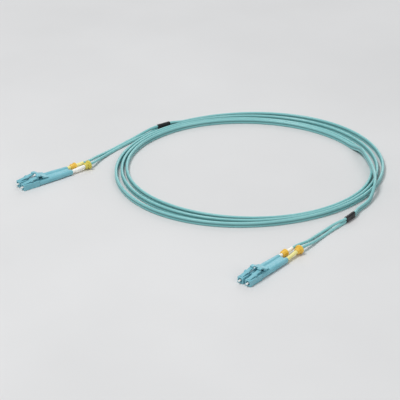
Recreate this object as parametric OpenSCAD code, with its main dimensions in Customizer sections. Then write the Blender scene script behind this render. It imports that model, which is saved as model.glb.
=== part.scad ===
// Duplex fibre optic patch cord, lying coiled on a table.
// A two-fibre zip cord stands on edge in a coil of a little over three turns. Each end splits into
// two legs, and each leg runs through a boot into one channel of a duplex plug with 1.25 mm ferrules.
// Millimetres, +Z up. The origin is on the table, midway between the two plugs. Plug A is the far
// left plug and plug B the near right one. In a plug's own frame the origin is on the centre line at
// the nose's front face, +X runs back towards the cord and +Y is the side of channel 1.

/* [Channels] */
// Distance between the two ferrule axes
pitch = 6.25; // [6.25:0.05:6.5]
// Diameter of a ceramic ferrule
ferrule_d = 1.25; // [1.2:0.01:1.3]
// Length of a ferrule
ferrule_len = 7; // [6.5:0.1:7.5]
// How far a ferrule stands out of the nose
ferrule_out = 1.6; // [1.2:0.1:1.9]
// How far a ferrule can be pushed back against its spring
ferrule_travel = 0.6; // [0.4:0.05:0.8]

/* [Nose] */
// Height and width of a nose
nose_size = 4.5; // [4.4:0.05:4.6]
// Length of a nose in front of the housing
nose_len = 13; // [12.6:0.1:13.4]
// Diameter of the round opening in front of a nose
mouth_d = 3.1; // [2.9:0.05:3.2]
// Depth of that opening
mouth_depth = 3.4; // [3:0.1:3.6]
// Bevel along the edges of a nose
nose_bevel = 0.35; // [0.2:0.05:0.45]

/* [Housing] */
// Length of the two housing shells
housing_len = 28.5; // [28:0.25:30]
// Width of one channel's rounded body at the front
body_w = 4.6; // [4.55:0.05:4.8]
// Height of the housing at the front
body_h = 4.2; // [4.15:0.05:4.3]
// Width of one channel's rounded body at the back
tail_w = 3.4; // [3.3:0.05:3.6]
// Height of the housing at the back
tail_h = 3.65; // [3.5:0.05:3.8]
// Depth of the valley along the top
valley = 0.75; // [0.6:0.05:0.9]

/* [Latch and trigger] */
// Width of a latch arm
latch_w = 2.6; // [2.4:0.1:2.8]
// Thickness of a latch arm
latch_t = 0.9; // [0.8:0.05:1]
// Width of a latch across its catches
catch_w = 3.8; // [3.6:0.1:4]
// Width of the trigger
trigger_w = 8.6; // [8.2:0.1:9]
// Height of the trigger's ridge over the ferrule axes
trigger_top = 5.7; // [5.6:0.05:5.9]
// Width of the notch in the trigger's front edge
notch_w = 3.4; // [3:0.1:3.6]

/* [Boots and marker collars] */
// Diameter of a boot where it leaves the housing
boot_d = 2.7; // [2.6:0.05:2.8]
// Diameter of a boot at its tip
boot_tip_d = 2.6; // [2.5:0.05:2.65]
// Length of a boot behind the housing
boot_out = 13.5; // [13:0.5:14.5]
// Rim diameter of the marker collar on channel 1
collar_1_d = 5.2; // [5:0.1:5.3]
// Rim diameter of the marker collar on channel 2
collar_2_d = 6.4; // [6.2:0.1:6.5]
// Length of a marker collar
collar_len = 4.4; // [4:0.1:4.6]
// Place of the collar of channel 1 behind the housing
collar_1_at = 2.6; // [2.4:0.1:2.8]
// Place of the collar of channel 2 behind the housing
collar_2_at = 11.2; // [11:0.1:11.4]
// Angle by which a boot bends towards its neighbour
boot_in = 3; // [2.5:0.1:3.2]
// Angle by which a boot bends up, so that its collar clears the table
boot_up = 3.8; // [3.7:0.1:4.2]

/* [Cord] */
// Diameter of one jacket of the cord
jacket_d = 2; // [1.9:0.05:2]
// Wall of the heat-shrink sleeve
shrink_wall = 0.4; // [0.3:0.05:0.5]
// Length of the heat-shrink sleeve
shrink_len = 11; // [10:0.5:11.5]
// Mean radius of the coil
coil_r = 87.4; // [87:0.2:90]
// How far the coil is stretched sideways into an oval
coil_oval = 4; // [3:0.1:4.5]
// Distance between neighbouring turns where they lie closest
turn_step = 2.45; // [2.45:0.05:2.7]

/* [Hidden] */

// Clearances
run_gap = 0.03;   // radial clearance of a ferrule and of a pivot
slip_gap = 0.05;  // clearance of a part that is laid in, and of a collar on its boot
seat_gap = 0.02;  // height of the lowest edge over the table
press_gap = 0.12; // clearance between the trigger's lip and the latch tips
past = 1;         // how far a cut runs on past the piece, and a joint runs into it

// Round parts
$fn = 48;
edge_fn = 24;     // circles that round the housing's edges

// Inside of a nose, along x
ferrule_r = ferrule_d / 2;
ferrule_x0 = -ferrule_out;
ferrule_x1 = ferrule_x0 + ferrule_len;
tip_bevel = 0.25;                               // bevel at the ferrule's tip, along x
tip_face_r = 0.42;
ground_x1 = mouth_depth - 0.5;                  // the ground front of a ferrule ends here
shank_x0 = ground_x1 + 0.8;                     // and its thinner shank starts here
shank_r = ferrule_r - 0.025;
stop_t = 0.8;                                   // wall that the flange rests against
chamber_x0 = mouth_depth + stop_t;
chamber_r = 1.3;
tail_r = 1.6;                                   // round tail of a nose, held by the shells
tail_len = 6;
flange_r = 1.2;
flange_len = 2.6;
flange_x0 = chamber_x0;
flange_x1 = flange_x0 + flange_len;
flange_tube_r = 0.78;
flange_tube_len = 2.4;
fibre_r = 0.45;
spring_wire_r = 0.17;
spring_r = 1.02;
spring_turns = 6;
spring_len = 5.3;
crimp_x0 = flange_x1 + spring_len;              // front face of the crimp body
crimp_bore_r = 0.7;
crimp_neck_r = chamber_r;
crimp_flange_r = tail_r;
crimp_flange_len = 1.4;
crimp_tube_r = 1;
crimp_tube_len = 6;
ring_r = 1.22;
ring_len = 7;
crimp_x1 = nose_len + tail_len;                 // front of the crimp body's flange
crimp_x2 = crimp_x1 + crimp_flange_len;         // and its back, where the crimp ring starts
crimp_x3 = crimp_x2 + crimp_tube_len;
fibre_end_x = crimp_x3 - 0.4;

// Boot and leg, along x
housing_x0 = nose_len;
housing_x1 = housing_x0 + housing_len;
tail_top = boot_d / 2 + 0.35;                    // top of the housing at the back
boot_x0 = crimp_x2 + ring_len + 1.2;             // the boot starts behind the crimp ring
boot_lap = 0.4;                                 // its straight part ends this far behind the housing
boot_step = 0.07;
boot_flange_r = 1.6;
boot_flange_in = 8;                             // the boot's flange lies this deep in the housing
boot_flange_x = housing_x1 - boot_flange_in;
boot_flange_len = 1.4;
leg_x0 = boot_x0 + 0.4;                          // the jacket starts a little inside the boot
leg_out = collar_2_at + collar_len + 1.2;        // a leg runs straight to this far behind the housing

// Outside of the housing, along x from its front
nose_h = nose_size / 2;
body_low = -nose_h;                             // it lies on the table as the noses do
body_top = body_low + body_h;                   // and its crown is a little lower than they are
front_round = 0.7;
shoulder = 12;                                  // here the housing starts to taper more
shoulder_in = 0.1;                              // how much narrower each channel is there
web_front = 0.35;                               // the web between the channels starts here
web_back = 0.8;                                 // and ends this far before the back
back_round = 1.3;
rim = 0.2;                                      // how far the rounded ends draw in
slice_t = 0.3;
front_corner = [1.85, 1.7];                     // radii of its lengthwise edges, above and below
body_corner = [2.05, 1.9];
tail_corner = [1.6, 1.5];
back_corner = [1.4, 1.3];

// Latch: its pivot stands for the thin root that bends
latch_pivot_r = 0.42;
latch_pivot_x = 1.5;
latch_pivot_z = nose_h + 0.05;
latch_tip_x = housing_x0 - 0.3;
latch_tip_z = 4.8;                              // top of the arm at its tip
latch_root_z = nose_h + 0.55;                   // top of the arm at its root
catch_x0 = 6.2;
catch_x1 = 7.9;
catch_rise = 0.5;
catch_lead = 0.2;
latch_foot = [0.4, 0.1];                        // the foot reaches this far in front of the pivot and over it
latch_heel = 0.3;
latch_bow = 1.2;                                // the arm thickens this close to its root
latch_flat = 3;                                 // length of the arm's step up to its tip
trigger_pivot_r = 0.5;
trigger_root = 8;                               // the trigger's pivot is this far behind the housing's front
trigger_pivot_x = housing_x0 + trigger_root;
trigger_pivot_z = body_top + 0.15;
trigger_front_x = latch_tip_x - 1.1;
trigger_nib = [0.5, 0.35];                      // slope at the front of its ridge
ridge_len = 2.4;
notch_len = 1.5;                                // the notch shows the gap between the two arms
lip_len = 3.7;                                  // flat underside that presses on the arms
ramp_bend = [-3.4, 1.5];                        // bend of the ramp behind the ridge, from the pivot
ramp_foot = [-0.5, 0.8];                        // the ramp's lower end, from the pivot
heel = [-4.8, 0.5];                             // lowest corner in front, from the pivot
heel_back = [-0.9, 0.3];                        // and the underside's end

// A plug lies flat on the table
plug_h = nose_h + seat_gap;
plug_a = [-96.3, 52.7, plug_h];
plug_b = [59, -84.7, plug_h];
turn_a = 36.5;
turn_b = 50.3;

// A point of a plug's own frame in the frame of the whole part
function plug_point(o, turn, p) = [
  o[0] + p[0] * cos(turn) - p[1] * sin(turn), o[1] + p[0] * sin(turn) + p[1] * cos(turn), o[2] + p[2]
];
// A point on a boot's bent axis, d behind the housing
function boot_point(ch, d) = [
  housing_x1 + d * cos(boot_up) * cos(boot_in),
  side_y(ch) - (ch == 1 ? 1 : -1) * d * cos(boot_up) * sin(boot_in),
  d * sin(boot_up)
];

module place_a() { translate(plug_a) rotate([0, 0, turn_a]) children(); }
module place_b() { translate(plug_b) rotate([0, 0, turn_b]) children(); }

// Side of a channel: channel 1 lies at +Y and channel 2 at -Y
function side_y(ch) = ch == 1 ? pitch / 2 : -pitch / 2;

// Colours
aqua = [0.49, 0.75, 0.80];
cord_aqua = [0.51, 0.75, 0.75];
ceramic = [0.95, 0.95, 0.93];
metal = [0.72, 0.73, 0.75];
brass = [0.78, 0.66, 0.38];
white = [0.95, 0.94, 0.92];
cream = [0.94, 0.90, 0.60];
amber = [0.90, 0.68, 0.25];
black = [0.10, 0.10, 0.11];

// ---------- sweeps ----------

function unit(v) = v / norm(v);

// Corners of a stadium-shaped section, w wide and h high, with n sides
function stadium(w, h, n) = [
  for (i = [0 : n - 1])
    let (a = 360 * (i + 0.5) / n)
    [w / 2 * cos(a), w / 2 * sin(a) + (sin(a) > 0 ? 1 : -1) * (h - w) / 2]
];

// Direction of a path at point i; the ends are square to their own last stretch
function heading(path, i) =
  let (m = len(path) - 1)
  i == 0 ? unit(path[1] - path[0])
  : i == m ? unit(path[m] - path[m - 1])
  : unit(unit(path[i + 1] - path[i]) + unit(path[i] - path[i - 1]));

// One ring of a section, which keeps its height upright
function ring_points(c, t, section) =
  let (side = unit(cross(t, [0, 0, 1])), up = cross(side, t))
  [for (s = section) c + s[0] * side + s[1] * up];

// Triangles of a tube of m rings with n corners
function tube_faces(m, n) = concat(
  [for (i = [0 : m - 2], j = [0 : n - 1], k = [0, 1])
    let (a = i * n + j, b = i * n + (j + 1) % n)
    k == 0 ? [a, a + n, b] : [b, a + n, b + n]],
  [for (j = [1 : n - 2]) [0, j, j + 1]],
  [for (j = [1 : n - 2]) [(m - 1) * n, (m - 1) * n + j + 1, (m - 1) * n + j]]
);

module tube_along(path, section) {
  rings = [for (i = [0 : len(path) - 1]) each ring_points(path[i], heading(path, i), section)];
  polyhedron(points = rings, faces = tube_faces(len(path), len(section)), convexity = 10);
}

// Smooth curve through the points of a route, with cuts pieces between neighbours
function curve_point(a, b, c, d, t) =
  0.5 * ((2 * b) + (c - a) * t + (2 * a - 5 * b + 4 * c - d) * t * t
    + (3 * b - a - 3 * c + d) * t * t * t);
function smooth_route(p, cuts) = [
  for (i = [1 : len(p) - 3], k = [0 : cuts - 1])
    curve_point(p[i - 1], p[i], p[i + 1], p[i + 2], k / cuts),
  p[len(p) - 2]
];

// ---------- routes ----------

jacket_r = jacket_d / 2;
shrink_w = jacket_d + 2 * shrink_wall;
shrink_h = 2 * jacket_d + 2 * shrink_wall;

// Middle and direction of each heat-shrink sleeve
shrink_a = [3.3, 152, shrink_h / 2];
shrink_a_turn = 34;
shrink_b = [133.5, 4.9, shrink_h / 2];
shrink_b_turn = 54;

// A point of a sleeve: s forward along it, towards the coil, and h up
function shrink_point(c, turn, s, h) = c + [s * cos(turn), s * sin(turn), h];

// Free points of the four legs, from the plug to the sleeve
leg_a1_way = [
  [-45.3, 98.7, 2.1], [-36, 111.2, 1.1], [-26.6, 123.1, 1.05], [-16.9, 134.8, 1.4], [-8.2, 143.6, 2.7]
];
leg_a2_way = [
  [-42.5, 96.6, 1.9], [-33.1, 111.4, 1.05], [-23.3, 123.9, 1.05], [-13.5, 135.6, 1.05], [-7.3, 142.2, 1.1]
];
leg_b1_way = [[102.9, -29.5, 2.3], [109.4, -19.5, 1.1], [116.2, -11.1, 1.12], [122.8, -5.4, 2.6]];
leg_b2_way = [[105.5, -31.8, 2.1], [112.6, -21.8, 1.05], [119.6, -12.3, 1.05], [126.4, -4.2, 1.1]];

leg_cuts = 2;

// A leg: straight out of its boot, along its free points, and into its place in the sleeve
function leg_path(o, turn, ch, way, sleeve, sleeve_turn) =
  let (high = ch == 1 ? jacket_r : -jacket_r, half = shrink_len / 2)
  concat(
    [plug_point(o, turn, [leg_x0, side_y(ch), 0]), plug_point(o, turn, boot_point(ch, 0))],
    smooth_route(concat(
      [plug_point(o, turn, boot_point(ch, 0)), plug_point(o, turn, boot_point(ch, leg_out))],
      way,
      [shrink_point(sleeve, sleeve_turn, -half - 1, high), shrink_point(sleeve, sleeve_turn, 0, high)]
    ), leg_cuts),
    [shrink_point(sleeve, sleeve_turn, -0.5, high)]
  );

// ---------- coil ----------

coil_at = [65.8, 83.1];
coil_start = -40;                  // angle where the lead from sleeve B joins, turning left
coil_end = 1201;                   // angle where the lead to sleeve A leaves
loop_rings = 24;
oval_turn = 8;                     // angle of the oval's long axis
// The turns fan out between these angles, once on each side, and lie close in between
fan_right = [-40, 135];
fan_left = [150, 305];
// How far each half turn swings out of the close lie, from the first to the last
fan_out = [-4.2, -3.1, -4.2, 0, 0, 4.2, 4.2];
// The entry comes from outside, over the other turns, to the inner lane
entry_r = 99.2;
entry_cross = [-40, 9];             // angles between which it crosses to its lane
entry_up = [-34, -20];             // it climbs between these angles
entry_down = [10, 26];             // and comes down between these
hump_h = 2 * jacket_d + 0.5;

function ramp(x) = let (t = min(1, max(0, x))) t * t * (3 - 2 * t);
function span(a, lim) = (a - lim[0]) / (lim[1] - lim[0]);

// Which half turn angle a lies in, and how far the fan is open there
function fan_at(a) =
  let (n = floor((a - fan_right[0]) / 360), b = a - 360 * n)
  b <= fan_right[1] ? fan_out[2 * n] * pow(sin(180 * span(b, fan_right)), 2)
  : (b >= fan_left[0] && b <= fan_left[1]) ? fan_out[2 * n + 1] * pow(sin(180 * span(b, fan_left)), 2)
  : 0;

function lane_r(a) = coil_r + coil_oval * cos(2 * (a - oval_turn)) + turn_step * (a / 360 - 1.5) + fan_at(a);
function coil_radius(a) =
  let (join = ramp(span(a, entry_cross)))
  entry_r * (1 - join) + lane_r(a) * join;
function coil_height(a) = jacket_d + hump_h * ramp(span(a, entry_up)) * (1 - ramp(span(a, entry_down)));
function coil_point(a) = [
  coil_at[0] + coil_radius(a) * cos(a), coil_at[1] + coil_radius(a) * sin(a), coil_height(a)
];

entry_step = 5;                    // rings lie closer together while the entry crosses
entry_last = coil_start + 45;
coil_step = 360 / loop_rings;
coil_angles = concat(
  [for (a = [coil_start : entry_step : entry_last - entry_step]) a],
  [for (a = [entry_last : coil_step : coil_end - coil_step / 2]) a],
  [coil_end]
);
coil_last = len(coil_angles) - 1;
coil_path = [for (a = coil_angles) coil_point(a)];
trunk_section = stadium(jacket_d, 2 * jacket_d, 8);
// The coil's section is flat where it lies on the table
coil_section = jacket_r * [[1, 0], [0.7, 1.95], [-0.7, 1.95], [-1, 0], [-0.7, -2], [0.7, -2]];

// The trunk leads join the coil's ends to the sleeves
lead_stub = 2.5;
function lead_path(from, to, sleeve, sleeve_turn) = concat(
  [to],
  smooth_route([
    from, to + lead_stub * unit(to - from), shrink_point(sleeve, sleeve_turn, shrink_len / 2 + 1, 0),
    shrink_point(sleeve, sleeve_turn, 0.5, 0), shrink_point(sleeve, sleeve_turn, -5, 0)
  ], 2)
);
lead_a_path = lead_path(coil_path[coil_last - 1], coil_path[coil_last], shrink_a, shrink_a_turn);
lead_b_path = lead_path(coil_path[1], coil_path[0], shrink_b, shrink_b_turn);

// Corners of the coil at ring i, or t of the way to the next ring
coil_ring = [for (i = [0 : coil_last]) ring_points(coil_path[i], heading(coil_path, i), coil_section)];
function coil_corners(i, t) = (1 - t) * coil_ring[i] + t * coil_ring[min(i + 1, coil_last)];
// Least gap between turns, from corner to corner
coil_gap = min([
  for (i = [0 : coil_last], j = [i + 1 : coil_last])
    let (d = (coil_angles[j] - coil_angles[i] + 180) % 360 - 180)
    if (coil_angles[j] - coil_angles[i] > 300 && abs(d) < coil_step + 1)
      for (t = [0, 0.5], u = [0, 0.5], p = coil_corners(i, t), q = coil_corners(j, u)) norm(p - q)
]);
echo(coil_gap = coil_gap);

// ---------- parts of a plug, in the plug's own frame ----------

// A rod or a bore along x
module rod(x0, x1, r, y = 0) {
  translate([x0, y, 0]) rotate([0, 90, 0]) cylinder(r = r, h = x1 - x0);
}

// A block along y made from a side outline of [x, z] points
module side_block(outline, y, w) {
  translate([0, y + w / 2, 0]) rotate([90, 0, 0]) linear_extrude(w) polygon(outline);
}

module nose(ch) {
  y = side_y(ch);
  h = nose_h;
  c = nose_bevel;
  color(aqua) difference() {
    union() {
      translate([0, y, 0]) rotate([90, 0, 90]) linear_extrude(nose_len)
        polygon([[-h, -h + c], [-h + c, -h], [h - c, -h], [h, -h + c],
                 [h, h - c], [h - c, h], [-h + c, h], [-h, h - c]]);
      rod(nose_len - past, crimp_x1, tail_r, y);
    }
    rod(-past, mouth_depth, mouth_d / 2, y);
    rod(mouth_depth - past, chamber_x0 + past, ferrule_r + run_gap, y);
    rod(chamber_x0, crimp_x1 + past, chamber_r, y);
    translate([latch_pivot_x, y + nose_size, latch_pivot_z]) rotate([90, 0, 0])
      cylinder(r = latch_pivot_r + run_gap, h = 2 * nose_size);
  }
}

module latch(ch) {
  y = side_y(ch);
  slope = (latch_tip_z - latch_root_z) / (latch_tip_x - latch_pivot_x);
  top = function(x) latch_root_z + slope * (x - latch_pivot_x);
  color(aqua) {
    side_block([
      [latch_pivot_x - latch_foot[0], latch_pivot_z + latch_foot[1]],
      [latch_pivot_x + latch_heel, latch_root_z],
      [catch_x0, top(catch_x0) - catch_rise / 2], [catch_x0 + catch_lead, top(catch_x0) + catch_rise / 2],
      [catch_x1, top(catch_x1) + catch_rise / 2],
      [latch_tip_x - latch_flat, top(latch_tip_x - latch_flat)],
      [latch_tip_x, latch_tip_z], [latch_tip_x, latch_tip_z - latch_t],
      [latch_pivot_x + latch_bow, top(latch_pivot_x + latch_bow) - latch_t + latch_foot[0]],
      [latch_pivot_x + latch_heel, latch_pivot_z]
    ], y, latch_w);
    side_block([
      [catch_x0, top(catch_x0) - latch_t], [catch_x0, top(catch_x0)],
      [catch_x1, top(catch_x1) + catch_rise / 2], [catch_x1, top(catch_x1) - latch_t]
    ], y, catch_w);
    translate([latch_pivot_x, y + latch_w / 2, latch_pivot_z]) rotate([90, 0, 0])
      cylinder(r = latch_pivot_r, h = latch_w);
  }
}

module trigger() {
  lip_z = latch_tip_z + press_gap;
  px = trigger_pivot_x;
  pz = trigger_pivot_z;
  front = trigger_front_x;
  color(aqua) {
    difference() {
      side_block([
        [px + trigger_pivot_r * cos(45), pz + trigger_pivot_r * sin(45)],
        [px, pz] + ramp_foot, [px, pz] + ramp_bend, [front + ridge_len, trigger_top],
        [front + trigger_nib[0], trigger_top], [front, trigger_top - trigger_nib[1]],
        [front, lip_z], [front + lip_len, lip_z],
        [px, pz] + heel, [px, pz] + heel_back, [px, pz]
      ], 0, trigger_w);
      translate([front - past, -notch_w / 2, latch_tip_z])
        cube([notch_len + past, notch_w, trigger_top - latch_tip_z + past]);
    }
    translate([px, trigger_w / 2, pz]) rotate([90, 0, 0]) cylinder(r = trigger_pivot_r, h = trigger_w);
  }
}

// A slice of the housing: four rods that round its corners, above and below
module slice(x, y, w, low, top, r) {
  for (sy = [-1, 1], up = [true, false]) {
    edge = up ? r[0] : r[1];
    translate([x, y + sy * (w / 2 - edge), up ? top - edge : low + edge]) rotate([0, 90, 0])
      cylinder(r = edge, h = slice_t, $fn = edge_fn);
  }
}

module housing_solid() {
  x0 = housing_x0;
  x1 = housing_x1;
  tail_low = tail_top - tail_h;
  web_low = 0.1;
  for (ch = [1, 2]) hull() {
    slice(x0, side_y(ch), body_w - 2 * rim, body_low + rim, body_top - rim, front_corner);
    slice(x0 + front_round, side_y(ch), body_w, body_low, body_top, body_corner);
    slice(x0 + shoulder, side_y(ch), body_w - shoulder_in, body_low, body_top, body_corner);
    slice(x1 - back_round, side_y(ch), tail_w, tail_low, tail_top, tail_corner);
    slice(x1 - slice_t, side_y(ch), tail_w - 2 * rim, tail_low + rim, tail_top - rim, back_corner);
  }
  // The web between the two channels, a little lower than they are
  side_block([
    [x0 + web_front, body_low + web_low], [x0 + shoulder, body_low + web_low],
    [x1 - web_back, tail_low + web_low], [x1 - web_back, tail_top - valley],
    [x0 + shoulder, body_top - valley], [x0 + web_front, body_top - valley]
  ], 0, pitch);
}

// Everything that the two shells close round
module housing_bores() {
  for (ch = [1, 2]) {
    y = side_y(ch);
    rod(housing_x0 - past, crimp_x2, tail_r, y);
    rod(crimp_x1, boot_x0, ring_r + slip_gap, y);
    rod(boot_x0 - past, housing_x1 + past, boot_d / 2, y);
    rod(boot_flange_x, boot_flange_x + boot_flange_len, boot_flange_r, y);
  }
}

module housing_shell(top) {
  color(aqua) difference() {
    intersection() {
      housing_solid();
      translate([housing_x0 - past, -body_w * 2, top ? 0 : -body_h])
        cube([housing_len + 2 * past, body_w * 4, body_h]);
    }
    housing_bores();
    translate([trigger_pivot_x, body_w * 2, trigger_pivot_z]) rotate([90, 0, 0])
      cylinder(r = trigger_pivot_r + run_gap, h = body_w * 4);
  }
}

module ferrule(ch) {
  color(ceramic) translate([0, side_y(ch), 0]) rotate([0, 90, 0]) rotate_extrude()
    polygon([
      [0, ferrule_x0], [tip_face_r, ferrule_x0], [ferrule_r, ferrule_x0 + tip_bevel],
      [ferrule_r, ground_x1], [shank_r, shank_x0], [shank_r, ferrule_x1], [0, ferrule_x1]
    ]);
}

module flange(ch) {
  y = side_y(ch);
  color(metal) difference() {
    union() {
      rod(flange_x0, flange_x1, flange_r, y);
      rod(flange_x1 - past, flange_x1 + flange_tube_len, flange_tube_r, y);
    }
    rod(flange_x0 - past, ferrule_x1, shank_r, y);
    rod(ferrule_x1 - past, flange_x1 + flange_tube_len + past, fibre_r, y);
  }
}

module fibre(ch) { color(white) rod(ferrule_x1, fibre_end_x, fibre_r, side_y(ch)); }

spring_steps = 8;
spring_x0 = flange_x1 + spring_wire_r + slip_gap;
spring_x1 = crimp_x0 - spring_wire_r - slip_gap;
function spring_point(y, i) =
  let (a = 360 * i / spring_steps)
  [spring_x0 + (spring_x1 - spring_x0) * i / (spring_steps * spring_turns),
   y + spring_r * cos(a), spring_r * sin(a)];
function spring_ring(y, i) =
  let (c = spring_point(y, i), out = unit([0, c[1] - y, c[2]]),
       t = unit(spring_point(y, i + 1) - spring_point(y, i - 1)), b = cross(t, out))
  [for (k = [0 : 5]) c + spring_wire_r * (cos(60 * k) * out + sin(60 * k) * b)];
echo(spring_gap = (spring_x1 - spring_x0) / spring_turns - 2 * spring_wire_r);

module spring(ch) {
  m = spring_steps * spring_turns + 1;
  color(metal)
    polyhedron(points = [for (i = [0 : m - 1]) each spring_ring(side_y(ch), i)],
               faces = tube_faces(m, 6), convexity = 10);
}

module crimp_body(ch) {
  y = side_y(ch);
  color(brass) difference() {
    union() {
      rod(crimp_x0, crimp_x1 + past, crimp_neck_r, y);
      rod(crimp_x1, crimp_x2, crimp_flange_r, y);
      rod(crimp_x1, crimp_x3, crimp_tube_r, y);
    }
    rod(crimp_x0 - past, crimp_x3 + past, crimp_bore_r, y);
  }
}

module crimp_ring(ch) {
  y = side_y(ch);
  color(metal) difference() {
    rod(crimp_x2, crimp_x2 + ring_len, ring_r, y);
    rod(crimp_x2 - past, crimp_x2 + ring_len + past, crimp_tube_r, y);
  }
}

// Turns a piece that lies along x from the back of the housing onto a boot's bent axis
module on_boot(ch) {
  translate([housing_x1, side_y(ch), 0]) rotate([0, -boot_up, ch == 1 ? -boot_in : boot_in]) children();
}

module boot(ch, tint) {
  y = side_y(ch);
  color(tint) difference() {
    union() {
      rod(boot_x0, housing_x1 + boot_lap, boot_d / 2, y);
      rod(boot_flange_x, boot_flange_x + boot_flange_len, boot_flange_r, y);
      on_boot(ch) translate([-boot_lap, 0, 0]) rotate([0, 90, 0])
        cylinder(r1 = boot_d / 2 - boot_step, r2 = boot_tip_d / 2, h = boot_out + boot_lap);
    }
    rod(boot_x0 - past, housing_x1 + boot_lap / 2, jacket_r, y);
    on_boot(ch) rod(-boot_lap, boot_out + past, jacket_r + 2 * slip_gap);
  }
}

// A slip-on ring: a barrel with a cone in front and a rim at the back
module marker_collar(ch) {
  x0 = ch == 1 ? collar_1_at : collar_2_at;
  rim_r = (ch == 1 ? collar_1_d : collar_2_d) / 2;
  barrel_r = 2.35;
  cone = 1.2;
  cone_rise = 0.5;
  rim_len = 1.3;
  color(amber) on_boot(ch) difference() {
    union() {
      translate([x0, 0, 0]) rotate([0, 90, 0]) cylinder(r1 = barrel_r - cone_rise, r2 = barrel_r, h = cone);
      rod(x0 + cone, x0 + collar_len - rim_len / 2, barrel_r);
      translate([x0 + collar_len - 2 * rim_len, 0, 0]) rotate([0, 90, 0])
        cylinder(r1 = barrel_r, r2 = rim_r, h = rim_len);
      rod(x0 + collar_len - rim_len, x0 + collar_len, rim_r);
    }
    rod(x0 - past, x0 + collar_len + past, boot_tip_d / 2 + slip_gap);
  }
}

// ---------- cord ----------

module leg(path) { color(cord_aqua) tube_along(path, stadium(jacket_d, jacket_d, 8)); }

module shrink_sleeve(c, turn) {
  r = shrink_w / 2;
  color(black) translate([c[0], c[1], c[2]]) rotate([0, 0, turn]) difference() {
    union() {
      for (s = [-1, 1]) translate([-shrink_len / 2, 0, s * jacket_r]) rotate([0, 90, 0])
        cylinder(r = r, h = shrink_len);
      translate([-shrink_len / 2, -r, -jacket_r]) cube([shrink_len, shrink_w, jacket_d]);
    }
    for (s = [-1, 1]) translate([-shrink_len, 0, s * jacket_r]) rotate([0, 90, 0])
      cylinder(r = jacket_r, h = 2 * shrink_len);
    translate([-shrink_len, -jacket_r, -jacket_r]) cube([2 * shrink_len, jacket_d, jacket_d]);
  }
}

leg_a1_path = leg_path(plug_a, turn_a, 1, leg_a1_way, shrink_a, shrink_a_turn);
leg_a2_path = leg_path(plug_a, turn_a, 2, leg_a2_way, shrink_a, shrink_a_turn);
leg_b1_path = leg_path(plug_b, turn_b, 1, leg_b1_way, shrink_b, shrink_b_turn);
leg_b2_path = leg_path(plug_b, turn_b, 2, leg_b2_way, shrink_b, shrink_b_turn);

place_a() nose(1);  // nose_a1
place_a() nose(2);  // nose_a2
place_a() latch(1);  // latch_a1
place_a() latch(2);  // latch_a2
place_a() trigger();  // trigger_a
place_a() housing_shell(true);  // housing_upper_a
place_a() housing_shell(false);  // housing_lower_a
place_a() ferrule(1);  // ferrule_a1
place_a() ferrule(2);  // ferrule_a2
place_a() flange(1);  // flange_a1
place_a() flange(2);  // flange_a2
place_a() spring(1);  // spring_a1
place_a() spring(2);  // spring_a2
place_a() fibre(1);  // fibre_a1
place_a() fibre(2);  // fibre_a2
place_a() crimp_body(1);  // crimp_body_a1
place_a() crimp_body(2);  // crimp_body_a2
place_a() crimp_ring(1);  // crimp_ring_a1
place_a() crimp_ring(2);  // crimp_ring_a2
place_a() boot(1, cream);  // boot_a1
place_a() boot(2, white);  // boot_a2
place_a() marker_collar(1);  // marker_collar_a1
place_a() marker_collar(2);  // marker_collar_a2

place_b() nose(1);  // nose_b1
place_b() nose(2);  // nose_b2
place_b() latch(1);  // latch_b1
place_b() latch(2);  // latch_b2
place_b() trigger();  // trigger_b
place_b() housing_shell(true);  // housing_upper_b
place_b() housing_shell(false);  // housing_lower_b
place_b() ferrule(1);  // ferrule_b1
place_b() ferrule(2);  // ferrule_b2
place_b() flange(1);  // flange_b1
place_b() flange(2);  // flange_b2
place_b() spring(1);  // spring_b1
place_b() spring(2);  // spring_b2
place_b() fibre(1);  // fibre_b1
place_b() fibre(2);  // fibre_b2
place_b() crimp_body(1);  // crimp_body_b1
place_b() crimp_body(2);  // crimp_body_b2
place_b() crimp_ring(1);  // crimp_ring_b1
place_b() crimp_ring(2);  // crimp_ring_b2
place_b() boot(1, white);  // boot_b1
place_b() boot(2, cream);  // boot_b2
place_b() marker_collar(1);  // marker_collar_b1
place_b() marker_collar(2);  // marker_collar_b2

leg(leg_a1_path);  // leg_a1
leg(leg_a2_path);  // leg_a2
leg(leg_b1_path);  // leg_b1
leg(leg_b2_path);  // leg_b2
shrink_sleeve(shrink_a, shrink_a_turn);  // shrink_sleeve_a
shrink_sleeve(shrink_b, shrink_b_turn);  // shrink_sleeve_b
color(cord_aqua) tube_along(lead_a_path, trunk_section);  // trunk_lead_a
color(cord_aqua) tube_along(lead_b_path, trunk_section);  // trunk_lead_b
color(cord_aqua) tube_along(coil_path, coil_section);  // trunk_coil
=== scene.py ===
# %% [markdown]
# # A duplex fibre patch cord
#
# The real thing is a flat cord of two round jackets joined side by side. It stands on edge in a coil of
# about three and a half turns. Each end splits into two legs, and each leg runs through a rubber boot
# into one half of a duplex plug with two white ceramic ferrules.
#
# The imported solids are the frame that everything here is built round. Blender adds the looks. All work is
# in metres, but the sizes of the pieces are easier to read in millimetres, so one matrix brings them home.

# %% Load the frame
import math

import bmesh
import bpy
from mathutils import Matrix, Vector


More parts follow.
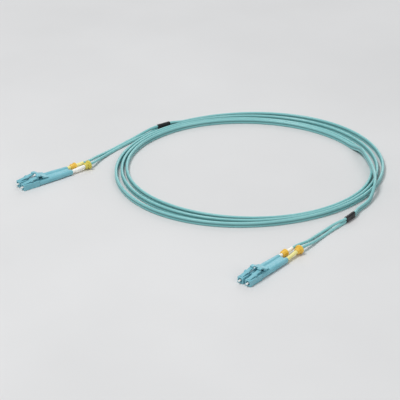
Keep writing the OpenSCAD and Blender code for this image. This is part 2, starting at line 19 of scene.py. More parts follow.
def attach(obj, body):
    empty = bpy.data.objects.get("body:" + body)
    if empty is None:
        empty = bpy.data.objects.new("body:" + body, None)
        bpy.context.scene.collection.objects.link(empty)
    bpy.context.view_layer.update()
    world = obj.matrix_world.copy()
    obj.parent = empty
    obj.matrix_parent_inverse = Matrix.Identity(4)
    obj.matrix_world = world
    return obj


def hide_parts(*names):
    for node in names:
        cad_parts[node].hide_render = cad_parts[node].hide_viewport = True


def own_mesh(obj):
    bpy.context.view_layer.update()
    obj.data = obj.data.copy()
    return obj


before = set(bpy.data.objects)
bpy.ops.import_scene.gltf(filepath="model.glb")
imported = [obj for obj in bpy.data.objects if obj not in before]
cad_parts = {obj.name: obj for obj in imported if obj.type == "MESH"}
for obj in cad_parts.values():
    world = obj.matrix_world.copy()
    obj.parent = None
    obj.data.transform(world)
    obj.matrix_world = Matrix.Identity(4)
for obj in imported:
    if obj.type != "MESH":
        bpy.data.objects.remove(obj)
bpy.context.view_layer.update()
MM = 0.001  # metres in a millimetre

# %% [markdown]
# ## Camera
#
# A long lens far away shows the cord almost without perspective, as a catalogue picture does. The camera
# stands straight in front, looks down at 27.3 degrees, and aims at a point on the table near the middle
# of the coil. It could be aimed with a constraint, but two plain angles are easier to check.

# %% Camera
LOOK_DOWN = math.radians(27.3)
AWAY = 1.4
AIM = Vector((0.03072, 0.03513, 0))
eye = bpy.data.cameras.new("eye")
eye.lens, eye.sensor_width, eye.clip_start, eye.clip_end = 180, 36, 0.05, 20
camera = bpy.data.objects.new("camera", eye)
camera.location = AIM + AWAY * Vector((0, -math.cos(LOOK_DOWN), math.sin(LOOK_DOWN)))
camera.rotation_euler = (math.pi / 2 - LOOK_DOWN, 0, 0)
bpy.context.collection.objects.link(camera)
bpy.context.scene.camera = camera
print("camera at", [round(c, 4) for c in camera.location])

# %% [markdown]
# ## The two plugs' places
#
# A plug's own frame has its origin on the centre line at the front face of the noses. X runs back towards
# the cord, Y points to channel 1 and Z up. Every piece of a plug is drawn in that frame, once, and a
# matrix puts it where plug A or plug B lies. Drawing each plug where it lies would double the work.

# %% Places of the plugs
PLUGS = {"a": ((-96.3, 52.7, 2.27), 36.5), "b": ((59, -84.7, 2.27), 50.3)}  # origin, turn in degrees
CHANNELS = [(end, channel) for end in PLUGS for channel in (1, 2)]
HALF_PITCH = 3.125
HOUSING_BACK = 41.5
BOOT_IN, BOOT_UP = math.radians(3), math.radians(3.8)


def lying(at, turn):
    """From millimetres in a piece's own frame to metres at its place on the table."""
    return Matrix.Scale(MM, 4) @ Matrix.Translation(at) @ Matrix.Rotation(math.radians(turn), 4, "Z")


def plug_place(end):
    return lying(*PLUGS[end])


def side(channel):
    return HALF_PITCH if channel == 1 else -HALF_PITCH


def boot_place(channel):
    """From the x axis to a boot's axis, which leans up and towards its neighbour."""
    turn_in = -BOOT_IN if channel == 1 else BOOT_IN
    return (Matrix.Translation((HOUSING_BACK, side(channel), 0))
            @ Matrix.Rotation(turn_in, 4, "Z") @ Matrix.Rotation(-BOOT_UP, 4, "Y"))


# %% [markdown]
# ## From a bmesh to a finished piece
#
# A piece is modelled in millimetres as a bmesh. One helper moves its points to their place in metres,
# turns the faces outwards, shades it smooth but keeps true corners sharp, and makes it ride on its body.
# The object itself stays at the origin, so a pattern on object coordinates never slides.

# %% Helpers for finished pieces
ROOT = "cord_and_housings"
SHARP_ABOVE = 38


def as_mesh(name, bm, sharp_above):
    bmesh.ops.remove_doubles(bm, verts=bm.verts, dist=1e-7)
    bmesh.ops.recalc_face_normals(bm, faces=bm.faces)
    mesh = bpy.data.meshes.new(name)
    bm.to_mesh(mesh)
    bm.free()
    mesh.shade_smooth()
    mesh.set_sharp_from_angle(angle=math.radians(sharp_above))
    return mesh


def finish_piece(name, bm, place, finish, body, nodes, sharp_above=SHARP_ABOVE):
    bmesh.ops.transform(bm, matrix=place, verts=bm.verts)
    piece = bpy.data.objects.new(name, as_mesh(name, bm, sharp_above))
    bpy.context.collection.objects.link(piece)
    piece.data.materials.append(finish)
    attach(piece, body)
    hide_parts(*nodes)
    return piece


print("edges stay sharp above", SHARP_ABOVE, "degrees; what doesn't move rides on", ROOT)

# %% [markdown]
# ## Three ways to start a shape
#
# Nearly every part of a plug is a rounded block, a side outline pushed across, or a turned part. A turned
# part is a half outline spun about the x axis, as on a lathe. Starting from a cube and pulling faces about
# would give the same shapes, but an outline can be read off a drawing and checked.

# %% Helpers for shapes
def soften(bm, round_by, segments, clamp=False):
    if round_by:
        bmesh.ops.bevel(bm, geom=bm.edges[:], offset=round_by, segments=segments, profile=0.5,
                        affect="EDGES", material=-1, clamp_overlap=clamp)
    return bm


def block(size, middle, round_by=0.0, segments=2):
    bm = bmesh.new()
    bmesh.ops.create_cube(bm, size=1)
    bmesh.ops.scale(bm, vec=size, verts=bm.verts)
    bmesh.ops.translate(bm, vec=middle, verts=bm.verts)
    return soften(bm, round_by, segments)


def side_shape(outline, middle_y, width, round_by=0.0, segments=2):
    """outline: points of x and z."""
    bm = bmesh.new()
    face = bm.faces.new([bm.verts.new((x, middle_y - width / 2, z)) for x, z in outline])
    pushed = bmesh.ops.extrude_face_region(bm, geom=[face])["geom"]
    bmesh.ops.translate(bm, vec=(0, width, 0), verts=[v for v in pushed if isinstance(v, bmesh.types.BMVert)])
    bmesh.ops.recalc_face_normals(bm, faces=bm.faces)
    return soften(bm, round_by, segments, clamp=True)


def turned(outline, y=0.0, steps=48):
    """outline: points of x and radius, from front to back."""
    bm = bmesh.new()
    points = [bm.verts.new((x, 0, r)) for x, r in outline]
    edges = [bm.edges.new(pair) for pair in zip(points, points[1:])]
    bmesh.ops.spin(bm, geom=points + edges, cent=(0, 0, 0), axis=(1, 0, 0), angle=2 * math.pi,
                   steps=steps, use_merge=True)
    bmesh.ops.remove_doubles(bm, verts=bm.verts, dist=1e-5)
    bmesh.ops.translate(bm, vec=(0, y, 0), verts=bm.verts)
    bmesh.ops.recalc_face_normals(bm, faces=bm.faces)
    return bm


sample = block((2, 2, 2), (0, 0, 0), 0.2)
print("a cube with rounded edges has", len(sample.faces), "faces")
sample.free()

# %% [markdown]
# ## One shape cut by another
#
# A cut uses a Boolean modifier, whose result is read back into a bmesh. Cutting a round mouth into a
# square nose by hand would take many faces, and the solver also joins a catch to its arm without a seam.
# The same helper joins, cuts and keeps what two shapes share.

# %% Helper for cuts
def joined(base, others, how):
    """base UNION, DIFFERENCE or INTERSECT others; all of them closed."""
    loose = []
    for bm in [base, *others]:
        bmesh.ops.recalc_face_normals(bm, faces=bm.faces)
        mesh = bpy.data.meshes.new("loose")
        bm.to_mesh(mesh)
        bm.free()
        loose.append(bpy.data.objects.new("loose", mesh))
        bpy.context.collection.objects.link(loose[-1])
    for tool in loose[1:]:
        step = loose[0].modifiers.new("cut", "BOOLEAN")
        step.operation, step.solver, step.object = how, "EXACT", tool
    result = bmesh.new()
    result.from_object(loose[0], bpy.context.evaluated_depsgraph_get())
    for piece in loose:
        mesh = piece.data
        bpy.data.objects.remove(piece)
        bpy.data.meshes.remove(mesh)
    return result


sample = joined(block((2, 2, 2), (0, 0, 0)), [turned([(-2, 0), (-2, 0.5), (2, 0.5), (2, 0)])], "DIFFERENCE")
print("a cube with a round hole has", len(sample.faces), "faces")
sample.free()

# %% [markdown]
# ## Colours and patterns from nodes
#
# Colours are picked as they look on a screen and turned into the linear values that a shader wants. A
# noise texture on object coordinates gives every pattern here. Its size is given in features per metre,
# so 2500 means bumps of 0.4 mm. Most of a noise lies near its middle, so it is stretched before it is used.
# A painted picture could do the same, but it would have one fixed sharpness.

# %% Helpers for colours and patterns
def srgb(red, green, blue):
    return [c / 12.92 if c <= 0.04045 else ((c + 0.055) / 1.055) ** 2.4 for c in (red, green, blue)] + [1]


def add(tree, kind, **values):
    node = tree.nodes.new(kind)
    for key, value in values.items():
        setattr(node, key, value)
    return node


def noise(tree, coords, scale, detail=3, roughness=0.5, stretch=None):
    texture = add(tree, "ShaderNodeTexNoise")
    texture.inputs["Scale"].default_value = scale
    texture.inputs["Detail"].default_value = detail
    texture.inputs["Roughness"].default_value = roughness
    if stretch:
        mapping = add(tree, "ShaderNodeMapping")
        mapping.inputs["Scale"].default_value = stretch
        tree.links.new(coords, mapping.inputs["Vector"])
        coords = mapping.outputs["Vector"]
    tree.links.new(coords, texture.inputs["Vector"])
    return texture.outputs["Fac"]


def spread(tree, value, low, high):
    """Stretches a noise, which mostly lies from 0.35 to 0.65, over low to high."""
    node = add(tree, "ShaderNodeMapRange")
    node.inputs["From Min"].default_value = 0.35
    node.inputs["From Max"].default_value = 0.65
    node.inputs["To Min"].default_value = low
    node.inputs["To Max"].default_value = high
    tree.links.new(value, node.inputs["Value"])
    return node.outputs["Result"]


def mixed(tree, share, first, second):
    """first where share is 0, second where it is 1; each is a colour or another node's socket."""
    node = add(tree, "ShaderNodeMix", data_type="RGBA")
    for socket, colour in ((node.inputs[6], first), (node.inputs[7], second)):
        if isinstance(colour, list):
            socket.default_value = colour
        else:
            tree.links.new(colour, socket)
    tree.links.new(share, node.inputs[0])
    return node.outputs[2]


print("half grey on the screen is", round(srgb(0.5, 0.5, 0.5)[0], 3), "to a shader")

# %% [markdown]
# ## Moulded plastic
#
# All the plastics and rubbers are made the same way: a base colour that drifts a little, as moulded
# plastic does, a fine grain in the surface from the mould, and a roughness that changes in patches where
# hands have polished it. The numbers that are the same all over, such as the specular level, sit on the
# shader itself, where every other program finds them too.

# %% Helpers for finishes
PATCHES = 140


def new_finish(name, metallic=0.0, specular=0.5):
    material = bpy.data.materials.new(name)
    material.use_nodes = True
    tree = material.node_tree
    shader = tree.nodes["Principled BSDF"]
    shader.inputs["Metallic"].default_value = metallic
    shader.inputs["Specular IOR Level"].default_value = specular
    coords = add(tree, "ShaderNodeTexCoord").outputs["Object"]
    return material, tree, shader, coords


def grained(tree, shader, height, depth):
    bump = add(tree, "ShaderNodeBump")
    bump.inputs["Strength"].default_value = 1
    bump.inputs["Distance"].default_value = depth
    tree.links.new(height, bump.inputs["Height"])
    tree.links.new(bump.outputs["Normal"], shader.inputs["Normal"])


def plastic(name, colour, second, grain=2500, depth=6e-6, rough=(0.34, 0.5), specular=0.5):
    material, tree, shader, coords = new_finish(name, specular=specular)
    shade = mixed(tree, spread(tree, noise(tree, coords, PATCHES, 4), 0, 1), colour, second)
    tree.links.new(shade, shader.inputs["Base Color"])
    tree.links.new(spread(tree, noise(tree, coords, PATCHES * 2.3, 3), *rough), shader.inputs["Roughness"])
    grained(tree, shader, noise(tree, coords, grain, 5, 0.6), depth)
    return material


print("a patch of drifting colour is about", round(1 / PATCHES / MM, 1), "mm across")

# %% [markdown]
# ## The colours of this cord
#
# Aqua marks a multimode cord. The plugs are moulded in a slightly bluer aqua than the cord's jacket. The
# boots are white and pale yellow rubber, crossed over between the two plugs so that the channels can be
# told apart, and the marker collars on them are amber and lemon. Rubber is duller than plastic, and the
# collars are a little glossier than the plugs.

# %% Plastics and rubbers
DULL = {"grain": 1800, "depth": 5e-6, "rough": (0.45, 0.6), "specular": 0.4}
GLOSSY = {"depth": 5e-6, "rough": (0.28, 0.42)}
AQUA = plastic("aqua_plastic", srgb(0.47, 0.735, 0.785), srgb(0.52, 0.765, 0.815))
WHITE_RUBBER = plastic("white_rubber", srgb(0.97, 0.965, 0.93), srgb(1, 0.995, 0.97), **DULL)
YELLOW_RUBBER = plastic("yellow_rubber", srgb(0.96, 0.92, 0.56), srgb(0.98, 0.95, 0.66), **DULL)
AMBER = plastic("amber_plastic", srgb(0.94, 0.74, 0.24), srgb(0.97, 0.8, 0.32), **GLOSSY)
LEMON = plastic("lemon_plastic", srgb(0.83, 0.77, 0.28), srgb(0.88, 0.82, 0.36), **GLOSSY)
BLACK_SHRINK = plastic("black_heat_shrink", srgb(0.07, 0.07, 0.08), srgb(0.12, 0.12, 0.13),
                       grain=900, depth=2e-5, rough=(0.38, 0.58))
BUFFER = plastic("buffered_fibre", srgb(0.93, 0.93, 0.9), srgb(0.97, 0.97, 0.95),
                 grain=3000, depth=2e-6, rough=(0.3, 0.42))
CERAMIC = plastic("zirconia", srgb(0.95, 0.95, 0.93), srgb(0.98, 0.98, 0.97),
                  grain=6000, depth=5e-7, rough=(0.08, 0.16), specular=0.8)
print("plastics and rubbers made, the last one is", CERAMIC.name)

# %% [markdown]
# ## Metals
#
# The flanges and crimp rings are nickel plated, the crimp bodies brass and the springs drawn wire. Turned
# or drawn metal has fine lines round it or along it. A noise that is squeezed along one axis gives them,
# both as a change of colour and as a very shallow bump.

# %% Metals
LINES, LINE_DEPTH = 900, 2e-6


def metal(name, colour, second, rough, stretch):
    material, tree, shader, coords = new_finish(name, metallic=1)
    lines = noise(tree, coords, LINES, 6, 0.7, stretch)
    shade = mixed(tree, spread(tree, lines, 0, 1), colour, second)
    tree.links.new(shade, shader.inputs["Base Color"])
    tree.links.new(spread(tree, noise(tree, coords, 300, 3), *rough), shader.inputs["Roughness"])
    grained(tree, shader, lines, LINE_DEPTH)
    return material


NICKEL = metal("nickel_plated_metal", srgb(0.74, 0.75, 0.77), srgb(0.82, 0.83, 0.84), (0.18, 0.34), (1, 1, 6))
SPRING_STEEL = metal("spring_steel", srgb(0.62, 0.63, 0.66), srgb(0.74, 0.75, 0.77), (0.22, 0.36), (2, 2, 2))
BRASS = metal("brass", srgb(0.78, 0.66, 0.38), srgb(0.86, 0.75, 0.48), (0.2, 0.36), (1, 1, 6))
print("metals made, the last one is", BRASS.name)

# %% [markdown]
# ## The jacket of the cord
#
# An extruded jacket is very even. Its colour drifts slowly along the cord, and the groove between the two
# jackets is painted darker, as painted shade where light reaches it less. Two attributes of the mesh tell the
# material how far along and how deep in the groove a point lies, so the pattern and the painted shade follow
# every bend. The roughness changes little and slowly, because small patches of it would look like cracks.

# %% The jacket's finish
def jacket(name, colour, second, groove):
    material, tree, shader, coords = new_finish(name)
    along = add(tree, "ShaderNodeAttribute", attribute_name="along").outputs["Fac"]
    deep = add(tree, "ShaderNodeAttribute", attribute_name="deep").outputs["Fac"]
    place = add(tree, "ShaderNodeCombineXYZ")
    tree.links.new(along, place.inputs["X"])
    drift = spread(tree, noise(tree, place.outputs["Vector"], 22, 4), 0, 1)
    # painted shade: the groove's darker colour is mixed in where a point lies deep in the groove
    shade = mixed(tree, deep, mixed(tree, drift, colour, second), groove)
    tree.links.new(shade, shader.inputs["Base Color"])
    tree.links.new(spread(tree, noise(tree, coords, 45, 2), 0.27, 0.33), shader.inputs["Roughness"])
    grained(tree, shader, noise(tree, coords, 1500, 4, 0.55), 9e-6)
    return material


# the last colour is the painted shade in the groove between the two jackets
JACKET = jacket("aqua_jacket", srgb(0.51, 0.765, 0.77), srgb(0.56, 0.805, 0.805), srgb(0.24, 0.46, 0.47))
print("nodes in the jacket's finish:", len(JACKET.node_tree.nodes))

# %% [markdown]
# ## The route of the coil
#
# The coil's route is a formula, so that its turns lie beside each other and fan out a little on the left
# and right, as a springy cord does. It starts outside the other turns, climbs over them in one low hump,
# and comes down into the inner lane. The route is the same one that the solids follow, but with more
# points, because here it may be as smooth as it likes. Angles are in degrees and grow from turn to turn.

# %% The coil's formula
COIL_MIDDLE = Vector((65.8, 83.1, 0))
COIL_START, COIL_END = -40, 1201
MEAN_RADIUS, OVAL, OVAL_TURN = 87.4, 4, 8
TURN_STEP, MIDDLE_TURN = 2.45, 1.5
FAN_RIGHT, FAN_LEFT = (-40, 135), (150, 305)
FAN_OUT = (-4.2, -3.1, -4.2, 0, 0, 4.2, 4.2)
ENTRY_RADIUS, ENTRY_CROSS, ENTRY_UP, ENTRY_DOWN = 99.2, (-40, 9), (-34, -20), (10, 26)
TRUNK_RISE, HUMP = 2, 4.5


def ramp(x):
    """From 0 to 1 without a kink."""
    t = min(1, max(0, x))
    return t * t * (3 - 2 * t)


def share(a, limits):
    return (a - limits[0]) / (limits[1] - limits[0])


def bulge(a, limits):
    return math.sin(math.pi * share(a, limits)) ** 2


def fan_at(a):
    turn = math.floor((a - FAN_RIGHT[0]) / 360)
    b = a - 360 * turn
    if b <= FAN_RIGHT[1]:
        return FAN_OUT[2 * turn] * bulge(b, FAN_RIGHT)
    if FAN_LEFT[0] <= b <= FAN_LEFT[1]:
        return FAN_OUT[2 * turn + 1] * bulge(b, FAN_LEFT)
    return 0


def coil_point(a):
    lane = (MEAN_RADIUS + OVAL * math.cos(2 * math.radians(a - OVAL_TURN))
            + TURN_STEP * (a / 360 - MIDDLE_TURN) + fan_at(a))
    joining = ramp(share(a, ENTRY_CROSS))
    radius = ENTRY_RADIUS * (1 - joining) + lane * joining
    height = TRUNK_RISE + HUMP * ramp(share(a, ENTRY_UP)) * (1 - ramp(share(a, ENTRY_DOWN)))
    angle = math.radians(a)
    return COIL_MIDDLE + Vector((radius * math.cos(angle), radius * math.sin(angle), height))


print("turns in the coil:", round((COIL_END - COIL_START) / 360, 2), "and its height over the others:",
      coil_point(0).z - TRUNK_RISE, "mm")

# %% [markdown]
# ## Smooth curves through chosen points
#
# The leads, which join the coil's ends to the two black sleeves, and the legs pass through a few chosen
# points. A Catmull-Rom curve goes through each of them without a kink, and needs one spare point before
# and after.

# %% Curve helper and leads
SLEEVES = {"a": ((3.3, 152, 2.4), 34), "b": ((133.5, 4.9, 2.4), 54)}  # middle, turn in degrees
CUTS = 6


def smooth_route(points):
    route = []
    for a, b, c, d in zip(points, points[1:], points[2:], points[3:]):
        for k in range(CUTS):
            t = k / CUTS
            route.append(0.5 * (2 * b + (c - a) * t + (2 * a - 5 * b + 4 * c - d) * t * t
                                + (3 * b - a - 3 * c + d) * t ** 3))
    return route + [points[-2]]


def sleeve_point(end, along, height):
    middle, turn = SLEEVES[end]
    turn = math.radians(turn)
    return Vector(middle) + Vector((along * math.cos(turn), along * math.sin(turn), height))


def lead(inside, coil_end, end):
    """From the coil's end into a sleeve; inside is a point of the coil just before its end."""
    stub = coil_end + 2.5 * (coil_end - inside).normalized()
    return [coil_end] + smooth_route(
        [inside, stub, sleeve_point(end, 6.5, 0), sleeve_point(end, 0.5, 0), sleeve_point(end, -5, 0)])


print("points in a lead:", len(lead(coil_point(COIL_START + 5), coil_point(COIL_START), "b")))

# %% [markdown]
# ## A tube through rings
#
# Cords, sleeves and housings are all tubes whose outline changes on the way. The helper starts with a
# circle, extrudes its edges once for each further ring, and puts each ring's points where they belong.
# Both ends are closed with one face each.

# %% Helper for tubes through rings
def tube_through(rings):
    bm = bmesh.new()
    bmesh.ops.create_circle(bm, cap_ends=False, segments=len(rings[0]), radius=1)
    rows, edges = [list(bm.verts)], bm.edges[:]
    for _ in rings[1:]:
        made = bmesh.ops.extrude_edge_only(bm, edges=edges)["geom"]
        grown = {g for g in made if isinstance(g, bmesh.types.BMVert)}
        edges = [g for g in made if isinstance(g, bmesh.types.BMEdge) and set(g.verts) <= grown]
        rows.append([next(e.other_vert(v) for e in v.link_edges if e.other_vert(v) in grown)
                     for v in rows[-1]])
    for row, points in zip(rows, rings):
        for vert, point in zip(row, points):
            vert.co = point
    bm.faces.new(rows[0])
    bm.faces.new(rows[-1])
    bmesh.ops.recalc_face_normals(bm, faces=bm.faces)
    return bm, rows


def around(count):
    """Angles of a ring's points, none of them straight up, down or sideways."""
    return [2 * math.pi * (k + 0.5) / count for k in range(count)]


sample, _ = tube_through([[Vector((x, math.cos(a), math.sin(a))) for a in around(12)] for x in range(4)])
print("a tube through 4 rings of 12 points has", len(sample.faces), "faces")
sample.free()

# %% [markdown]
# ## The outline of the cord
#
# The trunk's outline is two jackets, one above the other. The upper half of a ring becomes one jacket and
# the lower half the other, each opened by 30 degrees where the thin web joins them. A leg's outline is a
# plain circle. A curve with a bevel would be shorter to write, but it can only sweep a circle.

# %% Outlines of the cord
JACKET_RADIUS = 1.0
HALF_OPENING = math.radians(-60)
FULL_OPENING = math.radians(300)


def pair_section(angle):
    """A point of the outline of two jackets, and how deep in the groove it lies, for the painted shade."""
    up = 1 if angle < math.pi else -1
    turn = angle if up == 1 else 2 * math.pi - angle
    opened = HALF_OPENING + turn / math.pi * FULL_OPENING
    return (JACKET_RADIUS * math.cos(opened), up * JACKET_RADIUS * (1 + math.sin(opened)),
            max(0, -math.sin(opened)) ** 1.5)


def round_section(angle):
    return JACKET_RADIUS * math.cos(angle), JACKET_RADIUS * math.sin(angle), 0


print("the trunk's outline is", round(2 * max(pair_section(a)[1] for a in around(28)), 2), "mm high")

# %% [markdown]
# ## A cord as one swept tube
#
# Each ring stands square to the route and keeps its height upright, so the cord stands on edge all the
# way. The two attributes go with the points. The cord's length along its route is printed.

# %% Cord helpers
def cord_rings(route, shape):
    """The rings, and how far along the cord each of them lies."""
    rings, along = [], [0.0]
    for i, here in enumerate(route):
        heading = (route[min(i + 1, len(route) - 1)] - route[max(i - 1, 0)]).normalized()
        across = heading.cross(Vector((0, 0, 1))).normalized()
        up = across.cross(heading)
        rings.append([here + x * across + z * up for x, z, _ in shape])
        if i:
            along.append(along[-1] + (here - route[i - 1]).length)
    return rings, along


def cord_mesh(name, rings, along, shape):
    bm, rows = tube_through(rings)
    bm.verts.index_update()
    facts = [(v.index, length * MM, deep) for row, length in zip(rows, along)
             for v, (_, _, deep) in zip(row, shape)]
    bmesh.ops.transform(bm, matrix=Matrix.Scale(MM, 4), verts=bm.verts)
    mesh = bpy.data.meshes.new(name)
    bm.to_mesh(mesh)
    bm.free()
    length_along = mesh.attributes.new("along", "FLOAT", "POINT").data
    depth = mesh.attributes.new("deep", "FLOAT", "POINT").data
    for index, length, deep in facts:
        length_along[index].value, depth[index].value = length, deep
    mesh.shade_smooth()
    mesh.set_sharp_from_angle(angle=math.radians(60))
    mesh.materials.append(JACKET)
    return mesh


def make_cord(name, route, section, sides, nodes):
    shape = [section(angle) for angle in around(sides)]
    rings, along = cord_rings(route, shape)
    cord = bpy.data.objects.new(name, cord_mesh(name, rings, along, shape))
    bpy.context.collection.objects.link(cord)
    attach(cord, ROOT)
    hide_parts(*nodes)
    print(name, "is", round(along[-1]), "mm long and has", len(cord.data.polygons), "faces")


# %% [markdown]
# ## Heat-shrink sleeves
#
# A short black sleeve holds the cord together where it splits into legs. Shrunk with hot air, it shows
# the two jackets faintly under its skin, and it is thinner at its lips. Its rings are a circle that is
# parted into an upper and a lower half, drawn in a little at the waist. They are smaller at the lips and
# ripple slightly in between. Lathe work would not do, because the outline isn't round.

# %% Sleeves
SLEEVE_HALF, SLEEVE_STEPS, SLEEVE_SIDES, SLEEVE_LIP = 5.5, 24, 36, 0.5
LIP_RADIUS, SKIN, JACKET_HEIGHT = 1.1, 0.3, 0.98
RIPPLE, RIPPLE_RATE = 0.015, 2.1
WAIST, WAIST_WIDTH = 0.07, 0.3


def sleeve(end):
    rings = []
    for step in range(SLEEVE_STEPS + 1):
        s = -SLEEVE_HALF + 2 * SLEEVE_HALF * step / SLEEVE_STEPS
        lip = min(1, (SLEEVE_HALF - abs(s)) / SLEEVE_LIP)
        wall = LIP_RADIUS + SKIN * math.sqrt(1 - (1 - lip) ** 2) + RIPPLE * math.sin(RIPPLE_RATE * s) * lip
        ring = []
        for angle in around(SLEEVE_SIDES):
            x, z = math.cos(angle), math.sin(angle)
            waist = 1 - WAIST * math.exp(-((z / WAIST_WIDTH) ** 2))
            ring.append(Vector((s, x * wall * waist, z * wall + math.copysign(JACKET_HEIGHT, z))))
        rings.append(ring)
    bm, _ = tube_through(rings)
    return finish_piece("heat_shrink_" + end, bm, lying(*SLEEVES[end]), BLACK_SHRINK, ROOT,
                        ["shrink_sleeve_" + end])


sleeves = [sleeve(end) for end in PLUGS]
print("faces of a sleeve:", len(sleeves[0].data.polygons))

# %% [markdown]
# ## The trunk
#
# Out of sleeve B, once round and over the other turns, two and a half times more round, and into sleeve
# A. A ring every two degrees makes 180 for each turn. Rings five degrees apart looked fine from far off,
# but close up their corners showed in the cord's outline and in its hump.

# %% Trunk
COIL_STEP = 2
trunk_route = (lead(coil_point(COIL_START + 5), coil_point(COIL_START), "b")[:0:-1]
               + [coil_point(a) for a in [*range(COIL_START, COIL_END - 1, COIL_STEP), COIL_END]]
               + lead(coil_point(COIL_END - 5), coil_point(COIL_END), "a")[1:])
make_cord("trunk_cord", trunk_route, pair_section, 28, ["trunk_lead_a", "trunk_lead_b", "trunk_coil"])

# %% [markdown]
# ## The four legs
#
# Each leg is one round jacket. It starts inside its plug, runs straight through the boot, rises and
# sinks to the table, drifts apart from its neighbour and meets it again in the sleeve, one above the
# other.

# %% Legs
LEG_WAYS = {
    "a1": [(-45.3, 98.7, 2.1), (-36, 111.2, 1.1), (-26.6, 123.1, 1.05), (-16.9, 134.8, 1.4),
           (-8.2, 143.6, 2.7)],
    "a2": [(-42.5, 96.6, 1.9), (-33.1, 111.4, 1.05), (-23.3, 123.9, 1.05), (-13.5, 135.6, 1.05),
           (-7.3, 142.2, 1.1)],
    "b1": [(102.9, -29.5, 2.3), (109.4, -19.5, 1.1), (116.2, -11.1, 1.12), (122.8, -5.4, 2.6)],
    "b2": [(105.5, -31.8, 2.1), (112.6, -21.8, 1.05), (119.6, -12.3, 1.05), (126.4, -4.2, 1.1)],
}
LEG_INSIDE, LEG_OUT = (29, 33, 37), 16.8


def leg(end, channel):
    plug = Matrix.Scale(1 / MM, 4) @ plug_place(end)
    boot = plug @ boot_place(channel)
    high = 1 if channel == 1 else -1
    start = boot @ Vector((0, 0, 0))
    curve = smooth_route([start, boot @ Vector((LEG_OUT, 0, 0)),
                          *map(Vector, LEG_WAYS[f"{end}{channel}"]),
                          sleeve_point(end, -6.5, high), sleeve_point(end, 0, high)])
    inside = [plug @ Vector((x, side(channel), 0)) for x in LEG_INSIDE]
    straight = [start.lerp(curve[0], k / 4) for k in range(4)]
    route = inside + straight + curve + [sleeve_point(end, -0.5, high)]
    make_cord(f"leg_{end}{channel}_jacket", route, round_section, 20, [f"leg_{end}{channel}"])


for end, channel in CHANNELS:
    leg(end, channel)

# %% [markdown]
# ## Noses
#
# A nose is a 4.5 mm square bar with a round mouth in front. The ferrule stands in the mouth, and an
# adapter's ceramic sleeve slides over it. The bar is a bevelled cube, its back a turned tail that the
# housing holds, and one turned cutter makes mouth, guide and spring chamber at once.

# %% Noses
NOSE_SIZE, NOSE_LENGTH = 4.5, 13
MOUTH_RADIUS, MOUTH_DEPTH = 1.55, 3.4
GUIDE_RADIUS, GUIDE_END = 0.655, 4.2
CHAMBER_RADIUS = 1.3
TAIL_OUTLINE = [(12, 0), (12, 1.59), (18.9, 1.59), (19, 1.5), (19, 0)]
NOSE_ROUND = 0.32


def nose(end, channel):
    y = side(channel)
    bar = block((NOSE_LENGTH, NOSE_SIZE, NOSE_SIZE), (NOSE_LENGTH / 2, y, 0), NOSE_ROUND, 3)
    tail = turned(TAIL_OUTLINE, y)
    hollow = turned([(-1, 0), (-1, 2.3), (0.16, MOUTH_RADIUS), (MOUTH_DEPTH, MOUTH_RADIUS),
                     (MOUTH_DEPTH, GUIDE_RADIUS), (GUIDE_END, GUIDE_RADIUS), (GUIDE_END, CHAMBER_RADIUS),
                     (20, CHAMBER_RADIUS), (20, 0)], y)
    bm = joined(joined(bar, [tail], "UNION"), [hollow], "DIFFERENCE")
    return finish_piece(f"nose_{end}{channel}_shell", bm, plug_place(end), AQUA, ROOT,
                        [f"nose_{end}{channel}"])


noses = [nose(*which) for which in CHANNELS]
print("faces of a nose:", len(noses[0].data.polygons))

# %% [markdown]
# ## Latch arms
#
# An arm springs from the top of the nose, rises towards the back and carries two catches, which click
# behind the lugs of a port. It is drawn from the side and pushed across. The catches are a second, wider
# shape that is joined to it.

# %% Latch arms
ARM_FRONT, ARM_BACK = (1.5, 2.8), (12.7, 4.8)  # x and z of its upper side
ARM_RISE = (ARM_BACK[1] - ARM_FRONT[1]) / (ARM_BACK[0] - ARM_FRONT[0])
ARM_WIDTH, CATCH_WIDTH = 2.6, 3.8


def arm_top(x):
    return ARM_FRONT[1] + ARM_RISE * (x - ARM_FRONT[0])


def latch(end, channel):
    y = side(channel)
    arm = side_shape([(1.9, 2.15), (1.08, 2.15), (1.02, 2.48), (1.18, 2.72), (1.55, 2.86),
                      (6.15, arm_top(6.15) - 0.08), (6.4, arm_top(6.4) + 0.23), (7.82, arm_top(7.82) + 0.25),
                      (8.1, arm_top(8.1)), (9.7, arm_top(9.7)), (12.3, 4.76), (12.68, 4.66), (12.68, 4.0),
                      (12.45, 3.88), (3.0, 2.56), (2.3, 2.38)], y, ARM_WIDTH, 0.1)
    catch = side_shape([(6.22, arm_top(6.22) - 0.85), (6.2, arm_top(6.2) - 0.02), (7.5, arm_top(7.5) + 0.2),
                        (7.88, arm_top(7.88) + 0.22), (7.9, arm_top(7.9) - 0.85)], y, CATCH_WIDTH, 0.08)
    bm = joined(arm, [catch], "UNION")
    return finish_piece(f"latch_{end}{channel}_arm", bm, plug_place(end), AQUA, f"latch_{end}{channel}",
                        [f"latch_{end}{channel}"])


latches = [latch(*which) for which in CHANNELS]
print("faces of a latch arm:", len(latches[0].data.polygons))

# %% [markdown]
# ## Triggers
#
# One trigger reaches over both arms, so that one finger frees both channels. From the side it is a ramp
# with a rounded ridge and a thin lip in front, and a notch in the lip shows the gap between the arms. It
# stands on a heel, in front of which it is hollow. The side outline is pushed across and the notch is
# cut out with a rounded block. At its root it turns on a small round bar.

